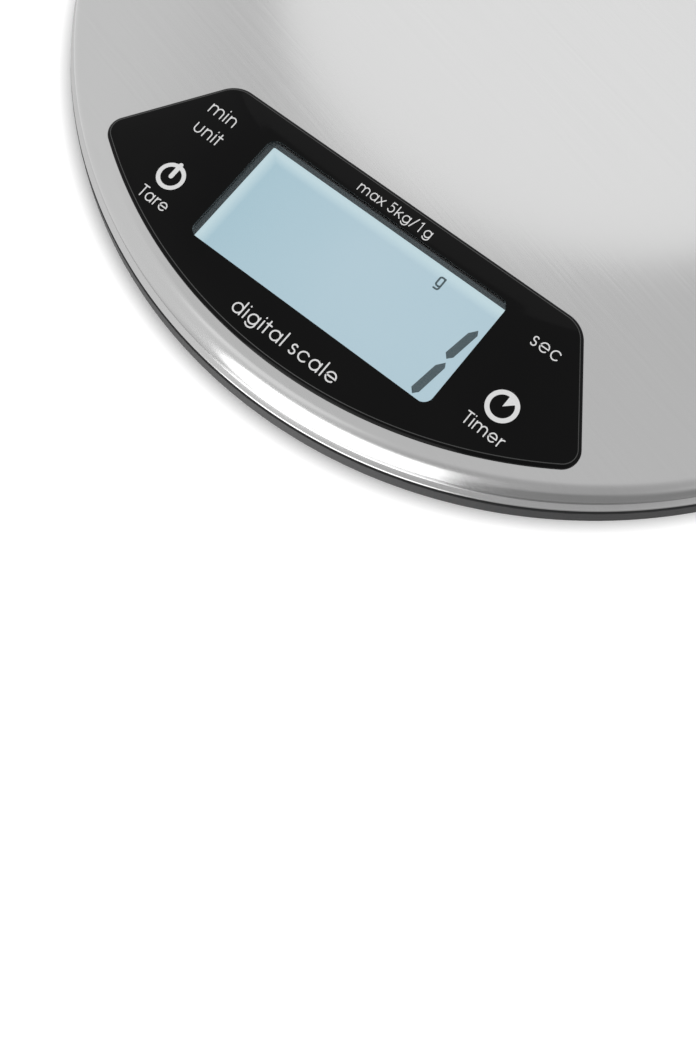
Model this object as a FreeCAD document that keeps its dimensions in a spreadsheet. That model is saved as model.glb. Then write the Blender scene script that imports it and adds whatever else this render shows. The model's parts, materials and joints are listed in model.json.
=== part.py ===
"""Slim round kitchen scale: a steel disc with a display panel over a shallow plastic base.

The frame stands on the floor: +Z is up, the origin is on the floor under the disc's centre, and the
display is at the front, towards -Y. All sizes are in millimetres and come from the spreadsheet "Sizes".
"""

import math
import os

import FreeCAD, Part
import Sketcher

Vector = FreeCAD.Vector

DRIVING_SIZES = {
    # The steel disc
    "disc_radius": 109.8,
    "steel_thickness": 0.6,
    "steel_top": 17.0,
    "flat_radius": 104.6,
    "shoulder_radius": 4.0,
    "skirt_bottom": 11.6,
    "skirt_step_radius": 109.2,
    "skirt_step_height": 12.5,
    "skirt_lip_height": 12.0,
    # The display panel: a plate with a straight back edge, slanting ends and a front edge round the disc
    "panel_thickness": 0.85,
    "adhesive_thickness": 0.15,
    "adhesive_inset": 0.5,
    "panel_back": 59.3,
    "panel_back_half_width": 44.0,
    "panel_end_slope": 0.691,
    "panel_front_radius": 103.2,
    "panel_back_corner": 6.5,
    "panel_front_corner": 3.8,
    "panel_edge_chamfer": 0.65,
    "opening_inset": 3.0,
    # The display
    "window_length": 60.4,
    "window_width": 26.9,
    "window_centre": 78.2,
    "window_corner": 2.2,
    "window_depth": 3.2,
    "window_ledge": 0.3,
    "window_side_ledge": 0.05,
    "frame_window_corner": 0.4,
    "lens_thickness": 0.75,
    "lens_clearance": 0.05,
    "display_length": 63.0,
    "display_width": 29.0,
    "display_thickness": 1.8,
    "display_clearance": 0.1,
    "frame_wall": 0.7,
    "backlight_length": 61.0,
    "backlight_width": 25.0,
    "backlight_back_gap": 1.0,
    "strip_width": 1.4,
    "strip_front_gap": 0.5,
    # The circuit board and what is on it
    "board_top": 11.8,
    "board_thickness": 1.6,
    "board_half_length": 62.0,
    "board_back": 54.0,
    "board_front_radius": 103.0,
    "chip_radius": 7.0,
    "chip_height": 1.3,
    "chip_centre": 80.0,
    "crystal_radius": 1.0,
    "crystal_length": 6.0,
    "crystal_across": 20.0,
    "buzzer_radius": 6.5,
    "buzzer_height": 3.5,
    "buzzer_across": 36.0,
    "buzzer_hole_radius": 1.0,
    "buzzer_hole_pitch": 3.0,
    "touch_pad_radius": 4.0,
    "touch_pad_across": 42.0,
    "touch_pad_back": 70.0,
    "touch_pad_front": 83.5,
    # The carrier frame under the steel
    "carrier_thickness": 2.0,
    "carrier_radius": 106.8,
    "carrier_top_radius": 104.2,
    "carrier_edge": 0.5,
    "carrier_rib_depth": 2.3,
    "carrier_rib_width": 1.2,
    "carrier_ring_radius": 58.0,
    "carrier_rib_end_gap": 2.0,
    "carrier_boss_radius": 3.6,
    "carrier_hole_extra": 0.5,
    "carrier_small_hole_extra": 1.0,
    # The base housing
    "base_wall_top": 10.9,
    "base_top_radius": 110.1,
    "base_widest_radius": 110.6,
    "base_widest_height": 7.0,
    "base_floor_radius": 92.0,
    "base_floor_height": 3.0,
    "base_floor_thickness": 1.8,
    "base_edge_round": 0.6,
    "spigot_radius": 107.3,
    "spigot_inner_radius": 105.5,
    "base_inner_foot": 8.6,
    "base_inner_inset": 0.5,
    "base_boss_sink": 0.5,
    # Screws: the join overlap is how far two fused pieces of one part reach into each other
    "join_overlap": 0.2,
    "housing_screw_circle": 86.0,
    "housing_screw_length": 8.0,
    "housing_screw_recess": 2.8,
    "housing_screw_shank": 1.3,
    "housing_screw_head": 3.0,
    "housing_screw_head_height": 1.6,
    "housing_boss_radius": 4.6,
    "housing_boss_top": 10.0,
    "small_screw_shank": 1.0,
    "small_screw_head": 2.1,
    "small_screw_head_height": 1.1,
    "screw_clearance": 0.05,
    "screw_head_clearance": 0.3,
    "board_screw_length": 4.0,
    "cell_screw_length": 3.2,
    "cell_screw_hole_depth": 2.4,
    "board_boss_radius": 2.6,
    "board_screw_back_across": 40.0,
    "board_screw_back": 57.0,
    "board_screw_side_across": 56.0,
    "board_screw_side": 67.0,
    # The battery bay and its cover
    "bay_half_length": 24.5,
    "bay_front": 8.0,
    "bay_back": 32.0,
    "bay_ceiling": 9.5,
    "bay_wall": 1.5,
    "cover_clearance": 0.3,
    "cover_thickness": 1.6,
    "cover_hook_across": 20.0,
    "cover_hook_width": 4.0,
    "cover_hook_reach": 1.8,
    "cover_hook_thickness": 0.7,
    "cover_hook_gap": 0.3,
    "cover_hook_root": 1.0,
    "cover_nib": 0.15,
    "cover_nib_half_width": 4.0,
    "cover_nib_half_height": 0.3,
    "cover_groove_radius": 6.0,
    "cover_groove_length": 14.0,
    "cover_groove_inset": 4.0,
    "cover_groove_drop": 5.4,
    "cover_hinge_radius": 0.8,
    "hook_notch_height": 2.3,
    "hook_notch_clearance": 0.4,
    "hook_notch_overrun": 0.5,
    "cell_radius": 10.0,
    "cell_height": 3.2,
    "cell_cap_radius": 8.6,
    "cell_cap_height": 0.3,
    "cell_bottom": 5.2,
    "cell_across": 11.6,
    "contact_thickness": 0.3,
    "contact_width": 5.0,
    "contact_dimple_radius": 1.5,
    "contact_dimple_sink": 0.1,
    "contact_tab_gap": 0.8,
    # The load cells and feet
    "foot_across": 52.3,
    "foot_stem_gap": 0.02,
    "load_cell_size": 28.0,
    "load_cell_corner": 2.0,
    "load_cell_thickness": 1.2,
    "load_cell_bottom": 6.6,
    "load_cell_slot": 1.0,
    "load_cell_tongue": 12.0,
    "load_cell_slot_reach": 9.0,
    "load_cell_post": 11.5,
    "load_cell_post_radius": 2.5,
    "foot_pad_radius": 11.0,
    "foot_pad_height": 1.3,
    "foot_pad_round": 0.5,
    "foot_cup_radius": 11.7,
    "foot_cup_bottom": 0.9,
    "foot_cup_top": 2.4,
    "foot_cup_chamfer": 0.3,
    "foot_stem_radius": 4.0,
    "foot_hole_radius": 4.6,
    # Flat leads on the base's floor
    "lead_width": 3.6,
    "lead_thickness": 1.2,
}

document = FreeCAD.newDocument("KitchenScale")
sheet = document.addObject("Spreadsheet::Sheet", "Sizes")
nodes = {}


class Size:
    """A number together with the expression that gives it, so that geometry can be bound to the sheet."""

    def __init__(self, text, value):
        self.text = text
        self.value = float(value)

    def combine(self, sign, other, value):
        return Size(f"({self.text} {sign} {as_size(other).text})", value)

    def __add__(self, other):
        return self.combine("+", other, self.value + as_size(other).value)

    def __sub__(self, other):
        return self.combine("-", other, self.value - as_size(other).value)

    def __mul__(self, other):
        return self.combine("*", other, self.value * as_size(other).value)

    def __truediv__(self, other):
        return self.combine("/", other, self.value / as_size(other).value)

    def __neg__(self):
        return Size(f"(0 - {self.text})", -self.value)


def as_size(number):
    return number if isinstance(number, Size) else Size(f"{number:.6g}", number)


def fill_sheet():
    """One row for each driving size: its name, its number and the alias that expressions use."""
    for row, (alias, number) in enumerate(DRIVING_SIZES.items(), start=1):
        sheet.set(f"A{row}", alias.replace("_", " "))
        sheet.set(f"B{row}", str(number))
        sheet.setAlias(f"B{row}", alias)
    document.recompute()


def size(alias):
    return Size(f"Sizes.{alias}", DRIVING_SIZES[alias])


def turn(angle_degrees):
    """Cosine and sine of an angle, as sizes."""
    radians = math.radians(angle_degrees)
    across = Size(f"cos({angle_degrees:.6g})", math.cos(radians))
    along = Size(f"sin({angle_degrees:.6g})", math.sin(radians))
    return across, along


def root_of(square):
    return Size(f"sqrt({square.text})", math.sqrt(square.value))


def bind(feature, properties):
    for name, value in properties.items():
        feature.setExpression(name, as_size(value).text)


def place(feature, at):
    """Binds a feature's position to three sizes."""
    for axis, value in zip("xyz", at):
        setattr(feature.Placement.Base, axis, as_size(value).value)
        feature.setExpression(f"Placement.Base.{axis}", as_size(value).text)


# Part primitives and booleans


def cylinder(name, radius, height, at, direction=None):
    feature = document.addObject("Part::Cylinder", name)
    if direction:
        feature.Placement.Rotation = FreeCAD.Rotation(Vector(0, 0, 1), Vector(*direction))
    bind(feature, {"Radius": radius, "Height": height})
    place(feature, at)
    return feature


def box(name, low, high):
    feature = document.addObject("Part::Box", name)
    spans = [as_size(b) - a for a, b in zip(low, high)]
    bind(feature, dict(zip(("Length", "Width", "Height"), spans)))
    place(feature, low)
    return feature


def cut(name, base, *tools):
    tool = tools[0] if len(tools) == 1 else fuse(name + "_tools", *tools)
    feature = document.addObject("Part::Cut", name)
    feature.Base = base
    feature.Tool = tool
    return feature


def fuse(name, *shapes):
    feature = document.addObject("Part::MultiFuse", name)
    feature.Shapes = list(shapes)
    return feature


def common(name, *shapes):
    feature = document.addObject("Part::MultiCommon", name)
    feature.Shapes = list(shapes)
    return feature


def group(name, shapes):
    """Separate solids of one kind, kept in one node."""
    feature = document.addObject("Part::Compound", name)
    feature.Links = list(shapes)
    return feature


def node(name, feature):
    feature.Label = name
    nodes[name] = feature


# PartDesign bodies


def new_body(name):
    return document.addObject("PartDesign::Body", name + "_body")


def new_sketch(body, name, plane, height=0.0):
    """A sketch on one of the body's own origin planes, lifted along the plane's normal."""
    sketch = body.newObject("Sketcher::SketchObject", name)
    support = next(item for item in body.Origin.OriginFeatures if item.Role == plane)
    sketch.AttachmentSupport = (support, [""])
    sketch.MapMode = "FlatFace"
    sketch.setExpression("AttachmentOffset.Base.z", as_size(height).text)
    return sketch


def bind_point(sketch, geometry, end, point, name):
    """Holds one end of a piece of geometry at a place given by two sizes."""
    for axis, value, own_axis in (("X", point[0], -2), ("Y", point[1], -1)):
        value = as_size(value)
        if abs(value.value) < 1e-9:
            sketch.addConstraint(Sketcher.Constraint("PointOnObject", geometry, end, own_axis))
            continue
        rule = Sketcher.Constraint("Distance" + axis, -1, 1, geometry, end, value.value)
        index = sketch.addConstraint(rule)
        sketch.renameConstraint(index, f"{name}_{axis.lower()}_place")
        sketch.setExpression(f"Constraints.{name}_{axis.lower()}_place", value.text)


def draw_outline(sketch, corners):
    """A closed outline. Each corner is (x, y), or (x, y, radius) where an arc starts: a positive radius
    turns anticlockwise to the next corner and a negative one clockwise."""
    count = len(corners)
    points = [Vector(as_size(c[0]).value, as_size(c[1]).value, 0) for c in corners]
    ends = []
    for i, corner in enumerate(corners):
        start, end = points[i], points[(i + 1) % count]
        if len(corner) == 2:
            sketch.addGeometry(Part.LineSegment(start, end), False)
            ends.append((1, 2))
            continue
        radius = as_size(corner[2])
        sketch.addGeometry(arc_between(start, end, radius.value), False)
        ends.append((1, 2) if radius.value > 0 else (2, 1))
        length = radius if radius.value > 0 else -radius
        index = sketch.addConstraint(Sketcher.Constraint("Radius", i, length.value))
        sketch.setExpression(f"Constraints[{index}]", length.text)
    for i, corner in enumerate(corners):
        rule = Sketcher.Constraint("Coincident", (i - 1) % count, ends[i - 1][1], i, ends[i][0])
        sketch.addConstraint(rule)
        bind_point(sketch, i, ends[i][0], corner[:2], f"corner_{i}")


def arc_between(start, end, radius):
    """The shorter arc between two points, anticlockwise from start if the radius is positive."""
    half = (end - start) * 0.5
    side = Vector(-half.y, half.x, 0).normalize()
    rise = math.sqrt(max(radius * radius - half.Length * half.Length, 0.0))
    middle = start + half + side * math.copysign(rise, radius)
    first, last = (start, end) if radius > 0 else (end, start)
    circle = Part.Circle(middle, Vector(0, 0, 1), abs(radius))
    angles = [math.atan2(p.y - middle.y, p.x - middle.x) for p in (first, last)]
    return Part.ArcOfCircle(circle, angles[0], angles[1])


def draw_circle(sketch, centre, radius):
    radius = as_size(radius)
    middle = Vector(as_size(centre[0]).value, as_size(centre[1]).value, 0)
    index = sketch.addGeometry(Part.Circle(middle, Vector(0, 0, 1), radius.value), False)
    rule = sketch.addConstraint(Sketcher.Constraint("Radius", index, radius.value))
    sketch.setExpression(f"Constraints[{rule}]", radius.text)
    bind_point(sketch, index, 3, centre, f"circle_{index}")


def rectangle(low, high):
    return [(low[0], low[1]), (high[0], low[1]), (high[0], high[1]), (low[0], high[1])]


def rounded_rectangle(low, high, radius):
    """Anticlockwise from the low corner, with an arc at each corner."""
    (x0, y0), (x1, y1) = low, high
    return [
        (x0 + radius, y0), (x1 - radius, y0, radius),
        (x1, y0 + radius), (x1, y1 - radius, radius),
        (x1 - radius, y1), (x0 + radius, y1, radius),
        (x0, y1 - radius), (x0, y0 + radius, radius),
    ]


def pad(body, sketch, length, down=False):
    feature = body.newObject("PartDesign::Pad", sketch.Name + "_pad")
    feature.Profile = sketch
    bind(feature, {"Length": length})
    feature.Reversed = down
    document.recompute()
    return feature


def pocket(body, sketch, depth, up=False):
    """Cuts downward unless up is set, and makes sure that it cuts."""
    before = body.Shape.Volume
    feature = body.newObject("PartDesign::Pocket", sketch.Name + "_pocket")
    feature.Profile = sketch
    bind(feature, {"Length": depth})
    feature.Reversed = up
    document.recompute()
    if not body.Shape.Volume < before - 1e-6:
        raise ValueError(f"{sketch.Name} cuts nothing")
    return feature


def revolve(body, sketch):
    feature = body.newObject("PartDesign::Revolution", sketch.Name + "_turned")
    feature.Profile = sketch
    feature.ReferenceAxis = (sketch, ["V_Axis"])
    feature.Angle = 360.0
    document.recompute()
    return feature


def dress(body, kind, edges_of, radius):
    """A fillet or chamfer of one size on the tip's edges that edges_of picks."""
    base = body.Tip
    names = [f"Edge{i}" for i, edge in enumerate(base.Shape.Edges, start=1) if edges_of(edge)]
    feature = body.newObject("PartDesign::" + kind, f"{body.Name}_{kind.lower()}_{len(body.Group)}")
    feature.Base = (base, names)
    bind(feature, {"Radius" if kind == "Fillet" else "Size": radius})
    document.recompute()
    return feature


def turned_node(name, corners, at=(0.0, 0.0, 0.0)):
    """A solid of revolution from corners given as (radius, height)."""
    body = new_body(name)
    sketch = new_sketch(body, name + "_profile", "XZ_Plane")
    draw_outline(sketch, corners)
    revolve(body, sketch)
    place(body, at)
    node(name, body)
    return body


def upright(edge):
    line = edge.Curve
    return isinstance(line, Part.Line) and abs(line.Direction.z) > 0.99


# Levels and outlines that several pieces share

ZERO = as_size(0.0)
STEEL_UNDERSIDE = size("steel_top") - size("steel_thickness")
PANEL_UNDERSIDE = size("steel_top") + size("adhesive_thickness")
PANEL_TOP = PANEL_UNDERSIDE + size("panel_thickness")
DISPLAY_TOP = PANEL_TOP - size("window_depth")
DISPLAY_UNDERSIDE = DISPLAY_TOP - size("display_thickness")
BOARD_UNDERSIDE = size("board_top") - size("board_thickness")
CARRIER_UNDERSIDE = STEEL_UNDERSIDE - size("carrier_thickness")
INNER_FLOOR = size("base_floor_height") + size("base_floor_thickness")
COVER_TOP = size("base_floor_height") + size("cover_thickness")
FOOT_PLACES = {
    "front_left": (-1, -1),
    "front_right": (1, -1),
    "rear_left": (-1, 1),
    "rear_right": (1, 1),
}
HOUSING_SCREW_ANGLES = (-22.0, 22.0, 90.0, 158.0, 202.0)
RIB_ANGLES = (0.0, 30.0, 60.0, 120.0, 150.0, 180.0)
# Corners within this distance of the panel's back edge are its back corners
PANEL_BACK_BAND = 8.0
# Where each lead runs over the base's floor; the sensor leads are given for the right-hand side
LEAD_ROUTES = {
    "sensor_lead_front": ((41.3, -48.3), (31.0, -48.3), (27.0, -58.0)),
    "sensor_lead_rear": ((41.3, 48.3), (31.0, 42.3), (31.0, -32.0), (15.0, -49.0), (15.0, -58.0)),
    "battery_lead": ((0.0, 4.0), (0.0, -36.0), (-5.0, -46.0), (-5.0, -58.0)),
}


def panel_outline(inset):
    """The panel's outline moved inwards: a straight back edge, slanting ends and a front arc."""
    slope = size("panel_end_slope")
    back = size("panel_back") + inset
    lean = root_of(slope * slope + 1.0)
    half = size("panel_back_half_width") - lean * inset + slope * inset
    radius = size("panel_front_radius") - inset
    a = slope * slope + 1.0
    b = half * slope + back
    c = half * half + back * back - radius * radius
    run = (root_of(b * b - a * c) - b) / a
    end = (half + slope * run, -(back + run))
    return [(half, -back), (-half, -back), (-end[0], end[1], radius), end]


def draw_panel_outline(sketch, inset):
    draw_outline(sketch, panel_outline(inset))


def window_outline(inset):
    """The display window, with its rounded corners, moved inwards by an inset."""
    across = size("window_length") / 2 - inset
    along = size("window_width") / 2 - inset
    centre = -size("window_centre")
    corner = size("window_corner") - inset
    return rounded_rectangle((-across, centre - along), (across, centre + along), corner)


def centred_rectangle(length, width, centre):
    return rectangle((-length / 2, centre - width / 2), (length / 2, centre + width / 2))


def round_panel_corners(body):
    """Rounds the two back corners and the two front corners of a plate with the panel's outline."""
    split = -(size("panel_back").value + PANEL_BACK_BAND)

    def at_back(edge):
        return upright(edge) and edge.CenterOfMass.y > split

    def at_front(edge):
        return upright(edge) and edge.CenterOfMass.y < split

    dress(body, "Fillet", at_back, size("panel_back_corner"))
    dress(body, "Fillet", at_front, size("panel_front_corner"))


def board_screw_places():
    back = size("board_screw_back")
    side = size("board_screw_side")
    for sign in (-1, 1):
        yield size("board_screw_back_across") * sign, -back
        yield size("board_screw_side_across") * sign, -side


def housing_screw_places():
    for angle in HOUSING_SCREW_ANGLES:
        across, along = turn(angle)
        circle = size("housing_screw_circle")
        yield circle * across, circle * along


def foot_place(where):
    across, along = FOOT_PLACES[where]
    return size("foot_across") * across, size("foot_across") * along


# The steel platform and the panel on it


def make_steel_platform():
    top = size("steel_top")
    flat = size("flat_radius")
    outer = size("shoulder_radius")
    inner = outer - size("steel_thickness")
    foot = top - outer
    low = size("skirt_bottom")
    step = size("skirt_step_radius")
    step_height = size("skirt_step_height")
    lip = size("skirt_lip_height")
    body = turned_node("steel_platform", [
        (ZERO, STEEL_UNDERSIDE),
        (flat, STEEL_UNDERSIDE, -inner),
        (flat + inner, foot),
        (flat + inner, low),
        (size("disc_radius"), low),
        (size("disc_radius"), lip),
        (step, lip),
        (step, step_height),
        (flat + outer, foot, outer),
        (flat, top),
        (ZERO, top),
    ])
    sketch = new_sketch(body, "steel_opening", "XY_Plane", top)
    draw_panel_outline(sketch, size("opening_inset"))
    pocket(body, sketch, size("steel_thickness") * 2)


def make_panel():
    body = new_body("display_panel")
    sketch = new_sketch(body, "panel_face", "XY_Plane", PANEL_UNDERSIDE)
    draw_panel_outline(sketch, ZERO)
    pad(body, sketch, size("panel_thickness"))
    round_panel_corners(body)
    top = PANEL_TOP.value

    def on_top(edge):
        return abs(edge.BoundBox.ZMin - top) < 1e-6 and abs(edge.BoundBox.ZMax - top) < 1e-6

    dress(body, "Chamfer", on_top, size("panel_edge_chamfer"))
    window = new_sketch(body, "panel_window", "XY_Plane", PANEL_TOP)
    draw_outline(window, window_outline(ZERO))
    pocket(body, window, size("panel_thickness") * 2)
    node("display_panel", body)


def make_panel_adhesive():
    body = new_body("panel_adhesive")
    sketch = new_sketch(body, "adhesive_outline", "XY_Plane", size("steel_top"))
    draw_panel_outline(sketch, size("adhesive_inset"))
    pad(body, sketch, size("adhesive_thickness"))
    round_panel_corners(body)
    inner = new_sketch(body, "adhesive_opening", "XY_Plane", PANEL_UNDERSIDE)
    draw_panel_outline(inner, size("opening_inset"))
    pocket(body, inner, size("adhesive_thickness") * 2)
    node("panel_adhesive", body)


# The display


def make_display_window():
    body = new_body("display_window")
    sketch = new_sketch(body, "lens_face", "XY_Plane", PANEL_UNDERSIDE)
    draw_outline(sketch, window_outline(size("lens_clearance")))
    pad(body, sketch, size("lens_thickness"))
    node("display_window", body)


def make_display_frame():
    body = new_body("display_frame")
    clearance = (size("display_clearance") + size("frame_wall")) * 2
    centre = -size("window_centre")
    outline = centred_rectangle(size("display_length") + clearance, size("display_width") + clearance, centre)
    sketch = new_sketch(body, "frame_outline", "XY_Plane", size("board_top"))
    draw_outline(sketch, outline)
    pad(body, sketch, PANEL_UNDERSIDE - size("board_top"))
    window = new_sketch(body, "frame_window", "XY_Plane", PANEL_UNDERSIDE)
    across = size("window_length") / 2 - size("window_side_ledge")
    along = size("window_width") / 2 - size("window_ledge")
    corner = size("frame_window_corner")
    draw_outline(window, rounded_rectangle((-across, centre - along), (across, centre + along), corner))
    pocket(body, window, PANEL_UNDERSIDE - size("board_top"))
    gap = size("display_clearance") * 2
    seat = new_sketch(body, "display_seat", "XY_Plane", DISPLAY_TOP)
    draw_outline(seat, centred_rectangle(size("display_length") + gap, size("display_width") + gap, centre))
    pocket(body, seat, DISPLAY_TOP - size("board_top"))
    node("display_frame", body)


def make_display_glass():
    half = size("display_length") / 2
    along = size("display_width") / 2
    centre = -size("window_centre")
    node("display_glass", box("display_glass", (-half, centre - along, DISPLAY_UNDERSIDE),
                              (half, centre + along, DISPLAY_TOP)))


def make_backlight():
    half = size("backlight_length") / 2
    back = -size("window_centre") + size("display_width") / 2 - size("backlight_back_gap")
    front = back - size("backlight_width")
    node("backlight", box("backlight", (-half, front, size("board_top")), (half, back, DISPLAY_UNDERSIDE)))


def make_contact_strip():
    half = size("backlight_length") / 2
    front = -size("window_centre") - size("display_width") / 2 + size("strip_front_gap")
    low = (-half, front, size("board_top"))
    high = (half, front + size("strip_width"), DISPLAY_UNDERSIDE)
    node("display_contact_strip", box("display_contact_strip", low, high))


# The circuit board


def make_circuit_board():
    half = size("board_half_length")
    radius = size("board_front_radius")
    blank = box("board_blank", (-half, -radius, BOARD_UNDERSIDE),
                (half, -size("board_back"), size("board_top")))
    disc = cylinder("board_disc", radius, size("board_thickness"), (0.0, 0.0, BOARD_UNDERSIDE))
    shape = common("board_shape", blank, disc)
    hole = size("small_screw_shank") + size("screw_clearance")
    holes = [
        cylinder(f"board_hole_{i}", hole, size("board_thickness"), (x, y, BOARD_UNDERSIDE))
        for i, (x, y) in enumerate(board_screw_places())
    ]
    node("circuit_board", cut("circuit_board", shape, *holes))


def make_board_parts():
    chip = cylinder("chip_blob", size("chip_radius"), size("chip_height"),
                    (0.0, -size("chip_centre"), BOARD_UNDERSIDE - size("chip_height")))
    node("controller_chip", chip)
    radius = size("crystal_radius")
    crystal = cylinder("clock_crystal", radius, size("crystal_length"),
                       (-size("crystal_across"), -size("chip_centre"), BOARD_UNDERSIDE - radius), (1, 0, 0))
    node("clock_crystal", crystal)
    bottom = BOARD_UNDERSIDE - size("buzzer_height")
    place_of_buzzer = (size("buzzer_across"), -size("chip_centre"), bottom)
    can = cylinder("buzzer_can", size("buzzer_radius"), size("buzzer_height"), place_of_buzzer)
    mouth = cylinder("buzzer_mouth", size("buzzer_hole_radius"), size("buzzer_height") / 2, place_of_buzzer)
    node("alarm_buzzer", cut("alarm_buzzer", can, mouth))


def make_touch_pads():
    """Conductive foam between the board and the panel, one under each printed touch field."""
    for side, sign in (("left", -1), ("right", 1)):
        for row in ("back", "front"):
            name = f"touch_pad_{row}_{side}"
            at = (size("touch_pad_across") * sign, -size("touch_pad_" + row), size("board_top"))
            node(name, cylinder(name, size("touch_pad_radius"), PANEL_UNDERSIDE - size("board_top"), at))


def screw(name, shank, head, head_height, length, at):
    """A screw put in from below: its head starts at the given place and its shank points up."""
    x, y, z = at
    overlap = size("join_overlap")
    top = cylinder(name + "_head", head, head_height, at)
    stem = cylinder(name + "_shank", shank, length + overlap, (x, y, z + head_height - overlap))
    return fuse(name, top, stem)


def make_board_screws():
    head = size("small_screw_head_height")
    screws = [
        screw(f"board_screw_{i}", size("small_screw_shank"), size("small_screw_head"), head,
              size("board_screw_length"), (x, y, BOARD_UNDERSIDE - head))
        for i, (x, y) in enumerate(board_screw_places())
    ]
    node("board_screws", group("board_screws", screws))


# The plastic frame under the steel, and the base


def make_carrier_frame():
    thickness = size("carrier_thickness")
    low = CARRIER_UNDERSIDE
    radius = size("carrier_radius")
    body = turned_node("carrier_frame", [
        (ZERO, low),
        (radius, low),
        (radius, low + size("carrier_edge")),
        (size("carrier_top_radius"), STEEL_UNDERSIDE),
        (ZERO, STEEL_UNDERSIDE),
    ])
    ring = new_sketch(body, "carrier_ring", "XY_Plane", low)
    draw_circle(ring, (ZERO, ZERO), size("carrier_ring_radius"))
    draw_circle(ring, (ZERO, ZERO), size("carrier_ring_radius") - size("carrier_rib_width"))
    pad(body, ring, size("carrier_rib_depth"), down=True)
    half = size("carrier_rib_width") / 2
    for angle in RIB_ANGLES:
        rib = new_sketch(body, f"carrier_rib_{int(angle)}", "XY_Plane", low)
        across, along = turn(angle)
        inner = size("carrier_ring_radius") - size("carrier_rib_width")
        outer = size("spigot_inner_radius") - size("carrier_rib_end_gap")
        ends = [(inner, half), (outer, half), (outer, -half), (inner, -half)]
        draw_outline(rib, [(across * r - along * offset, along * r + across * offset) for r, offset in ends])
        pad(body, rib, size("carrier_rib_depth"), down=True)
    bosses = new_sketch(body, "carrier_screw_bosses", "XY_Plane", low)
    for place_of_boss in housing_screw_places():
        draw_circle(bosses, place_of_boss, size("carrier_boss_radius"))
    pad(body, bosses, low - size("housing_boss_top"), down=True)
    posts = new_sketch(body, "carrier_board_bosses", "XY_Plane", low)
    for place_of_boss in board_screw_places():
        draw_circle(posts, place_of_boss, size("board_boss_radius"))
    pad(body, posts, low - size("board_top"), down=True)
    opening = new_sketch(body, "carrier_opening", "XY_Plane", STEEL_UNDERSIDE)
    draw_panel_outline(opening, size("opening_inset"))
    pocket(body, opening, thickness + size("carrier_rib_depth"))
    holes = new_sketch(body, "carrier_screw_holes", "XY_Plane", size("housing_boss_top"))
    for place_of_hole in housing_screw_places():
        draw_circle(holes, place_of_hole, size("housing_screw_shank") + size("screw_clearance"))
    pocket(body, holes, low - size("housing_boss_top") + size("carrier_hole_extra"), up=True)
    small = new_sketch(body, "carrier_board_screw_holes", "XY_Plane", size("board_top"))
    for place_of_hole in board_screw_places():
        draw_circle(small, place_of_hole, size("small_screw_shank") + size("screw_clearance"))
    pocket(body, small, low - size("board_top") + size("carrier_small_hole_extra"), up=True)


def bay_rectangle(grow):
    half = size("bay_half_length") + grow
    return rectangle((-half, size("bay_front") - grow), (half, size("bay_back") + grow))


def make_base_housing():
    floor = size("base_floor_height")
    top = size("base_wall_top")
    body = turned_node("base_housing", [
        (ZERO, floor),
        (size("base_floor_radius"), floor),
        (size("base_widest_radius"), size("base_widest_height")),
        (size("base_top_radius"), top),
        (size("spigot_radius"), top),
        (size("spigot_radius"), CARRIER_UNDERSIDE),
        (size("spigot_inner_radius"), CARRIER_UNDERSIDE),
        (size("spigot_inner_radius"), size("base_inner_foot")),
        (size("base_floor_radius") - size("base_inner_inset"), INNER_FLOOR),
        (ZERO, INNER_FLOOR),
    ])
    widest = size("base_widest_radius").value

    def outer_edge(edge):
        curve = edge.Curve
        return isinstance(curve, Part.Circle) and abs(curve.Radius - widest) < 1e-6

    dress(body, "Fillet", outer_edge, size("base_edge_round"))
    sunk = INNER_FLOOR - size("base_boss_sink")
    bosses = new_sketch(body, "base_screw_bosses", "XY_Plane", sunk)
    for place_of_boss in housing_screw_places():
        draw_circle(bosses, place_of_boss, size("housing_boss_radius"))
    pad(body, bosses, size("housing_boss_top") - sunk)
    posts = new_sketch(body, "load_cell_posts", "XY_Plane", sunk)
    for where in FOOT_PLACES:
        x, y = foot_place(where)
        for across in (-1, 1):
            for along in (-1, 1):
                reach = size("load_cell_post")
                draw_circle(posts, (x + reach * across, y + reach * along), size("load_cell_post_radius"))
    pad(body, posts, size("load_cell_bottom") - sunk)
    tub = new_sketch(body, "battery_tub", "XY_Plane", sunk)
    draw_outline(tub, bay_rectangle(size("bay_wall")))
    pad(body, tub, size("bay_ceiling") + size("bay_wall") - sunk)
    bay = new_sketch(body, "battery_bay", "XY_Plane", floor)
    draw_outline(bay, bay_rectangle(ZERO))
    pocket(body, bay, size("bay_ceiling") - floor, up=True)
    cut_cover_notches(body)
    shanks = new_sketch(body, "base_screw_holes", "XY_Plane", floor)
    heads = new_sketch(body, "base_screw_head_holes", "XY_Plane", floor)
    for place_of_hole in housing_screw_places():
        draw_circle(shanks, place_of_hole, size("housing_screw_shank") + size("screw_clearance"))
        draw_circle(heads, place_of_hole, size("housing_screw_head") + size("screw_head_clearance"))
    pocket(body, shanks, size("housing_boss_top") - floor, up=True)
    pocket(body, heads, size("housing_screw_recess"), up=True)
    stems = new_sketch(body, "foot_stem_holes", "XY_Plane", floor)
    for where in FOOT_PLACES:
        draw_circle(stems, foot_place(where), size("foot_hole_radius"))
    pocket(body, stems, size("base_floor_thickness"), up=True)
    sound = new_sketch(body, "buzzer_sound_holes", "XY_Plane", floor)
    for step in (-1, 0, 1):
        across = size("buzzer_across") + size("buzzer_hole_pitch") * step
        draw_circle(sound, (across, -size("chip_centre")), size("buzzer_hole_radius"))
    pocket(body, sound, size("base_floor_thickness"), up=True)
    small = new_sketch(body, "load_cell_screw_holes", "XY_Plane", size("load_cell_bottom"))
    for place_of_hole in load_cell_screw_places():
        draw_circle(small, place_of_hole, size("small_screw_shank") + size("screw_clearance"))
    pocket(body, small, size("cell_screw_hole_depth"))


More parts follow.
